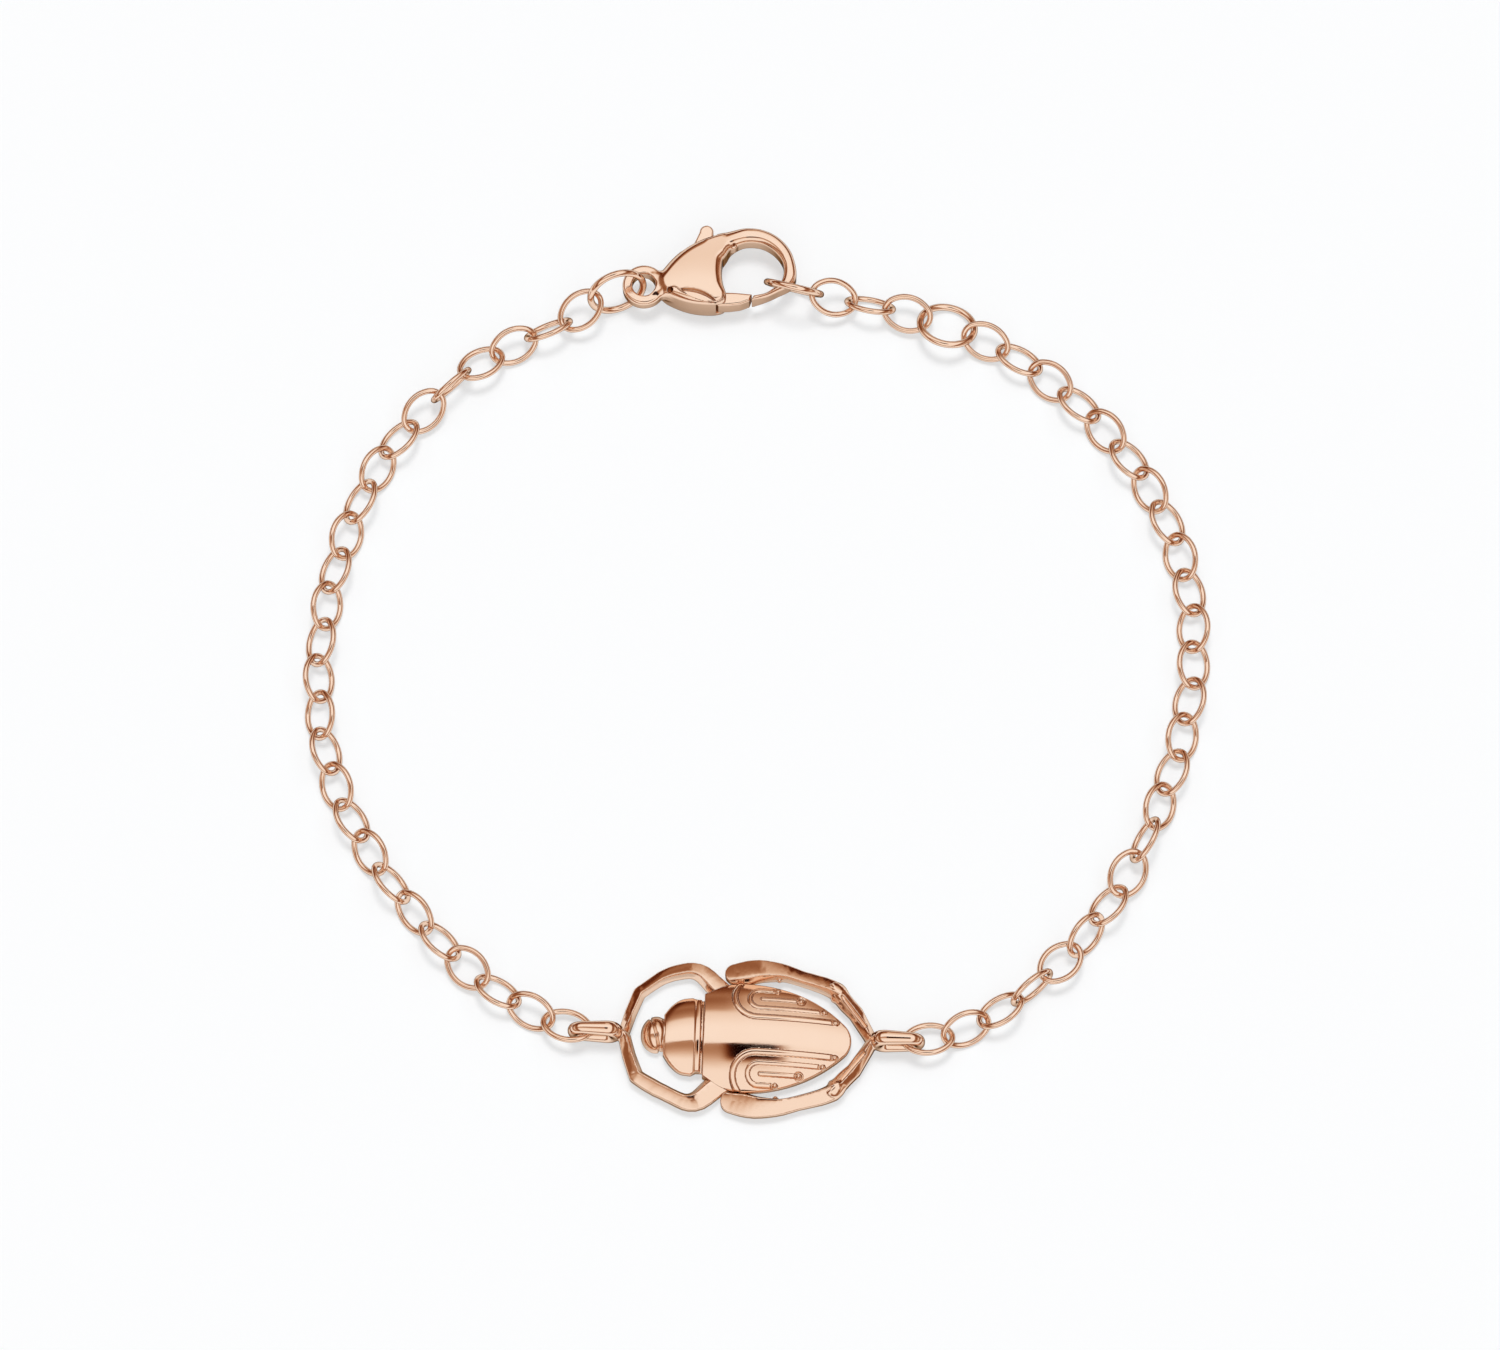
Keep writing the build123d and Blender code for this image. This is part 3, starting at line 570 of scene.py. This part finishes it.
def limb(u, v, z, table, crease, round_edge, broad=1.0, fall=0.26):
    """A cast leg along a path, with a broad outer face that falls away from a ridge by the share
    fall, and a narrow inner face that falls by the share crease. Runs that meet are blended."""
    rows = [(a * LEG_REACH, c * LEG_SPREAD, w * LEG_WIDTH, t * LEG_HEIGHT, r) for a, c, w, t, r in table]
    lateral = None
    weight = top = ridge = across = half = 0
    blend = 0.07
    for start, end in zip(rows[:-1], rows[1:]):
        near, share = to_line(u, v, start, end)
        width = start[2] + (end[2] - start[2]) * share
        edge = near - width / 2 * broad
        lateral = edge if lateral is None else np.minimum(lateral, edge)
        du, dv = end[0] - start[0], end[1] - start[1]
        length = math.hypot(du, dv)
        side = ((v - start[1]) * du - (u - start[0]) * dv) / length
        if -start[0] * dv + start[1] * du < 0:
            side = -side
        pull = np.exp(-np.minimum(edge, 2.0) / blend)
        weight = weight + pull
        top = top + pull * (start[3] + (end[3] - start[3]) * share)
        ridge = ridge + pull * (start[4] + (end[4] - start[4]) * share)
        across = across + pull * side
        half = half + pull * width / 2 * broad
    top, ridge, across, half = top / weight, ridge / weight, across / weight, half / weight
    place = np.clip(across / half, -1, 1)
    outer = np.clip((place - ridge) / (1 - ridge), 0, 1)
    inner = np.clip((ridge - place) / (1 + ridge), 0, 1)
    inner = (np.sqrt(inner ** 2 + 0.04) - 0.2) / 0.82
    roof = top * (1 - fall * outer ** 1.25 - crease * inner)
    return both(lateral, (z - roof) * 0.85, round_edge)


HEAD_CENTRE = (-5.95, 0.1, 0.35)
HEAD_REACH = (1.02, 1.28, 1.15)
BROW = smooth_line([(-6.35, 1.15), (-6.1, 0.55), (-5.9, -0.15), (-5.65, -1.2)], 4)
COLLAR_PLACE = WING_FRONT - 0.36
SEAM_PLACE = WING_FRONT - 0.09


def scarab_body(u, v, z):
    """Wing cases with ribs, shield with its collar and seam, and head with its curved groove."""
    wings = both(outline(u, v, WING_LINE), barrel(u, v, z, **WING) - wing_relief(u, v), 0.09)
    dome = barrel(u, v, z, **SHIELD)
    collar = 0.09 * np.exp(-((u - COLLAR_PLACE) / 0.2) ** 4)
    shield = both(outline(u, v, SHIELD_LINE), dome - collar, 0.12)
    body = either(wings, shield, 0.03)
    seam = np.maximum(np.abs(u - SEAM_PLACE) - 0.07, -(dome + 0.2))
    body = less(body, seam, 0.05)
    head = (from_centre(u, v, z, HEAD_CENTRE, HEAD_REACH) - 1) * 0.95
    head = head + 0.09 * np.exp(-(to_path(u, v, BROW) / 0.08) ** 2)
    return both(either(body, head, 0.05), UNDERSIDE - z, 0.06)


FRONT_LEAN = 0.18
NEAR_LEG_BREADTH = 1.15
LEG_UNDERSIDE = 0.42
SHIN_GROOVE = ((0.76 * LEG_REACH, 0.60 * LEG_SPREAD), (0.95 * LEG_REACH, 0.19 * LEG_SPREAD))
# Columns: centre, stretch in each direction, radius.
KNEE = ((6.0, 3.28, 0.8), (1.15, 1.2, 1.15), 0.5)
SPUR = ((5.68, 2.9, 0.7), (1, 1, 1.3), 0.2)
THORN = ((2.05, 4.1, 0.75), (1, 1, 1.3), 0.18)
BAIL_PLACE = LEG_REACH + 1.8
BAIL_HEIGHT = 1.21
BAIL_HALF_LENGTH = 1.41
BAIL_HALF_HEIGHT = 0.8
BAIL_CORNER = 0.74
BAIL_WIRE_RADIUS = 0.355


def scarab_legs(u, v, z):
    """The four legs with their knees, spurs and thorns, and the two upright wire bails."""
    side = np.abs(v)
    lean = FRONT_LEAN * np.exp(-((u + 5.4) / 1.3) ** 2)
    thigh = smooth_rows(FRONT_LEG[:FRONT_KNEE + 1])
    front_rows = thigh + smooth_rows(FRONT_LEG[FRONT_KNEE:])[1:]
    breadth = np.where(v < 0, NEAR_LEG_BREADTH, 1.0)
    front = limb(u, np.abs(v - lean), z, front_rows, 0.42, 0.07, breadth)
    hind = limb(u, side, z, smooth_rows(HIND_LEG), 0.46, 0.07, fall=0.34)
    shin = limb(u, side, z, SHIN, 0.34, 0.08)
    groove, _ = to_line(u, side, *SHIN_GROOVE)
    shin = less(shin, np.sqrt(groove ** 2 + (z - 1.36) ** 2 * 0.3) - 0.13, 0.05)
    knee, spur, thorn = (from_centre(u, side, z, centre, stretch) - radius
                         for centre, stretch, radius in (KNEE, SPUR, THORN))
    legs = either(either(front, hind, 0.04), shin, 0.05)
    legs = either(legs, knee, 0.16)
    legs = either(legs, either(spur, thorn, 0.05), 0.1)
    legs = both(legs, LEG_UNDERSIDE - z, 0.12)
    for end in (-1, 1):
        along = end * u - BAIL_PLACE
        line = np.abs(block(along, z - BAIL_HEIGHT, BAIL_HALF_LENGTH, BAIL_HALF_HEIGHT, BAIL_CORNER))
        swell = 0.1 * np.clip((0.7 - along) / 1.9, 0, 1)
        bail = np.sqrt(line ** 2 + (v * 0.86) ** 2) - BAIL_WIRE_RADIUS - swell
        legs = either(legs, bail, 0.1)
    return both(legs, 0.01 - z, 0.05)


# Clasp sizes, as in the part.
CLASP_LENGTH = 9.17
CLASP_WIDTH = 5.64
EYE = (-4.6, -1.05)
EYE_HEIGHT = 1.6
EYE_RADIUS = 1.45
EYE_HOLE_RADIUS = 0.79
EYE_HALF_THICKNESS = 0.5
LEVER_LOW = 0.7
LEVER_HIGH = 2.1


def clasp_line(table):
    """An outline given as shares of the clasp's length and width from the lever's pivot."""
    return [(PIVOT_ALONG + a * CLASP_LENGTH, PIVOT_ACROSS + b * CLASP_WIDTH) for a, b in table]


# One flowing outline for the body, the back of the hook and its tip.
BODY_LINE = smooth_line(clasp_line([
    (-0.285, 0.01), (-0.235, 0.14), (-0.150, 0.30), (-0.050, 0.43), (0.055, 0.525), (0.155, 0.587),
    (0.225, 0.605), (0.235, 0.50), (0.215, 0.36), (0.197, 0.20), (0.193, 0.05), (0.205, -0.10),
    (0.225, -0.22), (0.215, -0.315), (0.165, -0.352), (0.060, -0.358), (-0.050, -0.330),
    (-0.150, -0.270), (-0.235, -0.190), (-0.280, -0.10)]), 4, closed=True)
HOOK_OUTSIDE = smooth_line(clasp_line([
    (0.06, 0.50), (0.155, 0.583), (0.26, 0.627), (0.38, 0.640), (0.48, 0.625), (0.60, 0.535),
    (0.695, 0.365), (0.738, 0.16), (0.742, 0.00), (0.705, -0.10), (0.61, -0.185), (0.525, -0.252),
    (0.410, -0.304)]), 4)
HOOK_INSIDE = smooth_line(clasp_line([
    (0.429, -0.245), (0.51, -0.205), (0.565, -0.15), (0.63, -0.055), (0.652, 0.08), (0.64, 0.21),
    (0.58, 0.345), (0.50, 0.43), (0.42, 0.455), (0.33, 0.44), (0.265, 0.395), (0.21, 0.30),
    (0.10, 0.30)]), 4)
HOOK_LINE = HOOK_OUTSIDE + HOOK_INSIDE
LEVER_ARM = clasp_line([
    (-0.115, -0.20), (-0.03, -0.265), (0.10, -0.322), (0.155, -0.332), (0.17, -0.352),
    (0.25, -0.350), (0.33, -0.333), (0.398, -0.290), (0.417, -0.205), (0.30, -0.185),
    (0.20, -0.180), (0.11, -0.16), (0.05, -0.03), (-0.06, -0.06)])
PIVOT = (PIVOT_ALONG, PIVOT_ACROSS)
PIN_RADIUS = 0.29
PIN_TOP = 2.46
BORE_RADIUS = 0.35
BOSS_RADIUS = 0.62
STEM_HALF_WIDTH = 0.4
KNOB = (PIVOT_ALONG + 0.74, PIVOT_ACROSS + 3.43)
KNOB_RADIUS = 0.47
BLADE = [(KNOB[0] - 0.95, KNOB[1] - 1.1), (KNOB[0] + 0.35, KNOB[1] - 1.1),
         (KNOB[0] + KNOB_RADIUS, KNOB[1]), (KNOB[0] - KNOB_RADIUS, KNOB[1])]
LENS_TURN = math.radians(20)
LENS_CENTRE = (-0.92, -2.0)
LENS_OFFSET = 2.6
LENS_RADIUS = 2.89
LENS_FLOOR = 2.36
PEEP_HOLE = (-2.82, -1.6)
PEEP_RADIUS = 0.19
PEEP_FLOOR = 1.2
SEAM_LINE = smooth_line([(-2.99, -1.45), (-2.51, -1.4), (-2.04, -1.78), (-0.82, -2.36), (0.1, -2.52),
                         (0.6, -2.38), (0.83, -2.0)], 4)
LUG = (1.45, 1.9)
LUG_RADIUS = 0.3
LUG_HEIGHT = 1.55
LUG_HALF_HEIGHT = 0.45
PIP = (1.5, 1.84)
PIP_RADIUS = 0.08
PIP_FLOOR = 1.7
POCKET_TURNS = (-2, 2, 6, 10, 14, 18, 22)
POCKET_GAP = 0.14
POCKET_HEIGHT = 1.4
POCKET_HALF_HEIGHT = 0.75
WALL = 0.12


def turned_back(u, v, centre, angle):
    """Places in plan as seen by a thing that is turned by an angle about a centre."""
    c, s = math.cos(angle), math.sin(angle)
    du, dv = u - centre[0], v - centre[1]
    return c * du + s * dv, c * dv - s * du


def slab(z, low, high):
    """Distance to a flat layer."""
    return np.abs(z - (low + high) / 2) - (high - low) / 2


def lever_plan(u, v):
    """The lever from above: gate arm, boss, stem, blade and knob."""
    arm = outline(u, v, LEVER_ARM)
    boss = from_point(u, v, PIVOT) - BOSS_RADIUS
    stem = to_line(u, v, PIVOT, KNOB)[0] - STEM_HALF_WIDTH
    knob = from_point(u, v, KNOB) - KNOB_RADIUS
    blade = outline(u, v, BLADE)
    return np.minimum(np.minimum(np.minimum(arm, boss), np.minimum(stem, knob)), blade)


def lever_form(u, v, z):
    """The lever with its bore for the pin."""
    bar = both(lever_plan(u, v), slab(z, LEVER_LOW, LEVER_HIGH), 0.16)
    return np.maximum(bar, BORE_RADIUS - from_point(u, v, PIVOT))


def shell_form(u, v, z):
    """Domed hollow body and round-edged hook in one flowing outline, with the end eye."""
    fillet = 0.4 * np.clip((2.4 - v) / 0.8, 0.02, 1)
    plan = either(outline(u, v, BODY_LINE), outline(u, v, HOOK_LINE), fillet)
    # The share is 0 in the body and 1 in the hook, which is flatter and stands off the floor.
    share = np.clip((u - 0.7) / 1.7, 0, 1)
    share = share * share * (3 - 2 * share)
    rise = (v + 1.2) ** 2
    dome = 2.78 - 0.05 * (u + 0.6) ** 2 - 0.055 * rise / (1 + 0.06 * rise)
    high = dome + (2.5 - dome) * share
    low = 0.9 * share
    tip = np.clip((3.7 - u) / 0.8, 0, 1) * np.clip((-v - 0.5) / 0.6, 0, 1) * share
    near_edge = np.clip((-v - 1.0) / 0.8, 0, 1) * (1 - share)
    soft = 0.6 - 0.22 * share - 0.2 * tip - 0.2 * near_edge
    shell = both(plan, slab(z, low, high), soft)
    eye_far = from_point(u, v, EYE)
    eye_layer = np.abs(z - EYE_HEIGHT) - EYE_HALF_THICKNESS
    eye = both(eye_far - EYE_RADIUS, eye_layer, 0.24)
    neck = both(block(u - EYE[0] - 1.35, v - EYE[1] - 0.08, 1.0, 0.8, 0.3), eye_layer, 0.3)
    shell = either(shell, either(eye, neck, 0.25), 0.35)
    shell = both(shell, EYE_HOLE_RADIUS - eye_far, 0.14)
    solid = shell
    # A shallow lens in the top, the peep hole beside it and the seam where the top plate is closed.
    along, across = turned_back(u, v, LENS_CENTRE, -LENS_TURN)
    lens = np.maximum(from_point(along, across, (0, LENS_OFFSET)),
                      from_point(along, across, (0, -LENS_OFFSET))) - LENS_RADIUS
    shell = less(shell, np.maximum(lens, LENS_FLOOR - z), 0.04)
    peep = from_point(u, v, PEEP_HOLE) - PEEP_RADIUS
    shell = less(shell, np.maximum(peep, PEEP_FLOOR - z), 0.04)
    shell = less(shell, np.maximum(to_path(u, v, SEAM_LINE) - 0.02, -(shell + 0.07)), 0.04)
    # A small lug with a dimple inside the hook's root.
    lug = both(from_point(u, v, LUG) - LUG_RADIUS, np.abs(z - LUG_HEIGHT) - LUG_HALF_HEIGHT, 0.1)
    shell = either(shell, lug, 0.08)
    pip = from_point(u, v, PIP) - PIP_RADIUS
    shell = less(shell, np.maximum(pip, PIP_FLOOR - z), 0.03)
    # The pocket that the lever swings in, with a thin wall left along the near side.
    swept = None
    for angle in POCKET_TURNS:
        du, dv = turned_back(u, v, PIVOT, math.radians(angle))
        swung = lever_plan(PIVOT_ALONG + du, PIVOT_ACROSS + dv)
        swept = swung if swept is None else np.minimum(swept, swung)
    wall = np.where((u < 0.3) & (v < -1.0), solid + WALL, -1.0)
    layer = np.abs(z - POCKET_HEIGHT) - POCKET_HALF_HEIGHT
    pocket = np.maximum(np.maximum(swept - POCKET_GAP, wall), layer)
    shell = less(shell, pocket, 0.03)
    pin = np.maximum(from_point(u, v, PIVOT) - PIN_RADIUS, z - PIN_TOP)
    return np.maximum(shell, -pin)


gold_colour = (0.935, 0.69, 0.53)
gold = rose_gold("rose_gold_wire", 0.11, gold_colour, 0.2, 900.0, 0.25)
cast = rose_gold("rose_gold_cast", 0.1, gold_colour, 0.12, 700.0, 0.3)
sprung = rose_gold("rose_gold_clasp", 0.12, gold_colour, 0.12, 800.0, 0.3)

link_line = oval_line(LINK_LENGTH, LINK_WIDTH, LINK_WIRE, LINK_END_RADIUS, LINK_STEPS)
round_line = ring_line(RING_OUTER, RING_WIRE, RING_STEPS)
for node in ("chain_left", "chain_right", "chain_end"):
    chain_piece(node + "_links", node, link_line, LINK_WIRE, gold)
for node in ("jump_ring", "end_ring", "sizing_ring"):
    chain_piece(node + "_wire", node, round_line, RING_WIRE, gold)
SCARAB_PLACE = (scarab_x, scarab_y)
CLASP_PLACE = (clasp_x, clasp_y)
cast_piece("scarab_back", scarab_body, (-7.2, -4.4, 0.3), (7.2, 4.4, 2.5), 0.055, SCARAB_PLACE,
           SCARAB_TURN, cast, "bracelet", "scarab")
cast_piece("scarab_legs", scarab_legs, (-12.2, -5.9, -0.15), (12.2, 5.9, 2.7), 0.06, SCARAB_PLACE,
           SCARAB_TURN, cast, "bracelet", "scarab")
cast_piece("clasp_case", shell_form, (-6.2, -3.0, -0.15), (6.0, 3.4, 3.0), 0.06, CLASP_PLACE,
           0.0, sprung, "bracelet", "clasp_shell")
cast_piece("clasp_gate", lever_form, (-2.6, -2.9, 0.5), (3.1, 3.6, 2.3), 0.06, CLASP_PLACE,
           0.0, sprung, "lever", "clasp_lever")
pin_data = frame["nodes"]["clasp_pin"].data
pin_data.materials.clear()
pin_data.materials.append(sprung)


def floor_material():
    """White studio paper with a faint tooth, lit a little from below so that only soft shadows show."""
    material, nodes, links, shader = new_material("paper")
    shader.inputs["Base Color"].default_value = (0.5, 0.5, 0.5, 1.0)
    shader.inputs["Roughness"].default_value = 0.9
    shader.inputs["Specular IOR Level"].default_value = 0.0
    shader.inputs["Emission Color"].default_value = (0.86, 0.95, 1.0, 1.0)
    shader.inputs["Emission Strength"].default_value = 0.50
    place = nodes.new("ShaderNodeTexCoord")
    tooth = nodes.new("ShaderNodeTexNoise")
    tooth.inputs["Scale"].default_value = 600.0
    links.new(place.outputs["Object"], tooth.inputs["Vector"])
    bump = nodes.new("ShaderNodeBump")
    bump.inputs["Strength"].default_value = 0.05
    bump.inputs["Distance"].default_value = 0.0001
    links.new(tooth.outputs["Fac"], bump.inputs["Height"])
    links.new(bump.outputs["Normal"], shader.inputs["Normal"])
    return material


FLOOR_SIZE = 4.0
FLOOR_DROP = 0.00001
bpy.ops.mesh.primitive_plane_add(size=FLOOR_SIZE, location=(0, 0, -FLOOR_DROP))
floor = bpy.context.object
floor.name = "floor"
floor.data.materials.append(floor_material())


def add_camera():
    """The camera at the photograph's angle, scaled to the photograph's pixels."""
    data = bpy.data.cameras.new("camera")
    data.sensor_width = SENSOR
    data.lens = PIXELS_PER_MM / MM * CAMERA_DISTANCE / IMAGE_WIDTH * SENSOR
    data.clip_start = 0.01
    data.clip_end = 20.0
    camera = bpy.data.objects.new("camera", data)
    bpy.context.scene.collection.objects.link(camera)
    tilt = math.radians(CAMERA_ELEVATION)
    camera.location = TARGET + Vector((0, -math.cos(tilt), math.sin(tilt))) * CAMERA_DISTANCE
    camera.rotation_euler = (math.radians(90.0 - CAMERA_ELEVATION), 0, 0)
    bpy.context.scene.camera = camera


def add_key():
    """A soft key light from behind, for the short shadows on the near side."""
    data = bpy.data.lights.new("key", "SUN")
    data.energy = 1.3
    data.angle = math.radians(18.0)
    key = bpy.data.objects.new("key", data)
    bpy.context.scene.collection.objects.link(key)
    key.rotation_euler = (math.radians(-15.0), 0, 0)
    key.visible_glossy = False


# The surroundings by direction, in degrees from straight up: north is away from the camera.
# Each share is what a part of the surroundings takes away of the light there.
BOX_LEVEL = 1.01
BOX_RISE = 0.03
BOX_FRONT = (3.0, 4.5)
FALL_BEHIND = (22, 85)
FALL_SHARE = 0.5
HORIZON = (0.12, 0.42)
HORIZON_SHARE = 0.6
SIDE_STRIP = (40, 50, 62, 72)
SIDE_SHARE = 0.72
BACK_STRIP = (42, 50, 62, 72)
BACK_LIGHT = (4, 30, 10)
BACK_SHARE = 0.35
WARM_WALL = (44, 62)
WARM_SIDE = (-40, 0, 9)
WARM_SHARE = 0.3
DARK_FRONT = (3.2, 4.5)
GAP_NEAR = (-22, -11)
GAP_SIDE = (-2, 11, 6)
GAP_SHARE = 0.99
SPREAD_NEAR = (-32, -2)
SPREAD_SIDE = (-42, 9, 8)
SPREAD_SHARE = 0.55
CHANNEL_POWERS = (("Red", 1.0), ("Green", 1.7), ("Blue", 2.3))


def add_world():
    """Studio surroundings: a wide softbox overhead with dim strips, a warm wall and a dark gap."""
    world = bpy.data.worlds.new("studio")
    bpy.context.scene.world = world
    world.use_nodes = True
    nodes = world.node_tree.nodes
    links = world.node_tree.links
    background = nodes["Background"]
    place = nodes.new("ShaderNodeTexCoord")
    split = nodes.new("ShaderNodeSeparateXYZ")
    links.new(place.outputs["Generated"], split.inputs["Vector"])

    def math_node(operation, a, b=None, c=None):
        """One sum of values or sockets."""
        node = nodes.new("ShaderNodeMath")
        node.operation = operation
        for socket, value in zip(node.inputs, (a, b, c)):
            if value is None:
                continue
            if isinstance(value, (int, float)):
                socket.default_value = value
            else:
                links.new(value, socket)
        return node.outputs[0]

    def step(value, low, high):
        """A smooth rise from 0 to 1 between two values."""
        node = nodes.new("ShaderNodeMapRange")
        node.interpolation_type = "SMOOTHSTEP"
        node.inputs["From Min"].default_value = low
        node.inputs["From Max"].default_value = high
        links.new(value, node.inputs["Value"])
        return node.outputs["Result"]

    def angle_step(value, low, high):
        """A smooth rise from 0 to 1 between two angles in degrees."""
        return step(value, math.radians(low), math.radians(high))

    def product(a, b):
        """One socket or value times another."""
        return math_node("MULTIPLY", a, b)

    def rest_of(a):
        """What is left to 1."""
        return math_node("SUBTRACT", 1.0, a)

    def strip(value, rise_low, rise_high, fall_low, fall_high):
        """1 between two rising and two falling angles."""
        rise = angle_step(value, rise_low, rise_high)
        return product(rise, rest_of(angle_step(value, fall_low, fall_high)))

    def window(value, low, high, fade):
        """1 between two angles, with the same fade at both sides."""
        return strip(value, low - fade, low, high, high + fade)

    def dimmed(level, part, share):
        """The level with a share of it taken away in a part of the surroundings."""
        return product(level, math_node("MULTIPLY_ADD", part, -share, 1.0))

    height = math_node("MAXIMUM", split.outputs["Z"], 0.001)
    north = math_node("ARCTAN2", split.outputs["Y"], height)
    east = math_node("ARCTAN2", split.outputs["X"], height)

    # The softbox is brightest overhead and falls off behind and towards the horizon.
    level = math_node("MULTIPLY_ADD", angle_step(north, *BOX_FRONT), BOX_RISE, BOX_LEVEL)
    level = dimmed(level, angle_step(north, *FALL_BEHIND), FALL_SHARE)
    level = dimmed(level, rest_of(step(split.outputs["Z"], *HORIZON)), HORIZON_SHARE)
    # Dim strips at both sides and behind draw a fine dark line along every wire.
    level = dimmed(level, strip(math_node("ABSOLUTE", east), *SIDE_STRIP), SIDE_SHARE)
    back = product(strip(north, *BACK_STRIP), rest_of(window(east, *BACK_LIGHT)))
    level = dimmed(level, back, BACK_SHARE)
    # A warm dim wall behind to the left, and a dark gap at the box's front edge with brown beside it.
    wall = product(angle_step(north, *WARM_WALL), window(east, *WARM_SIDE))
    level = dimmed(level, wall, WARM_SHARE)
    front = rest_of(angle_step(north, *DARK_FRONT))
    spread = product(product(front, angle_step(north, *SPREAD_NEAR)), window(east, *SPREAD_SIDE))
    gap = product(product(front, angle_step(north, *GAP_NEAR)), window(east, *GAP_SIDE))
    level = dimmed(dimmed(level, spread, SPREAD_SHARE), gap, GAP_SHARE)
    tones = nodes.new("ShaderNodeCombineColor")
    for channel, power in CHANNEL_POWERS:
        links.new(math_node("POWER", level, power), tones.inputs[channel])
    links.new(tones.outputs["Color"], background.inputs["Color"])
    background.inputs["Strength"].default_value = 1.0


add_camera()
add_key()
add_world()
view = bpy.context.scene.view_settings
view.view_transform = "Standard"
view.look = "None"
view.exposure = 0.0
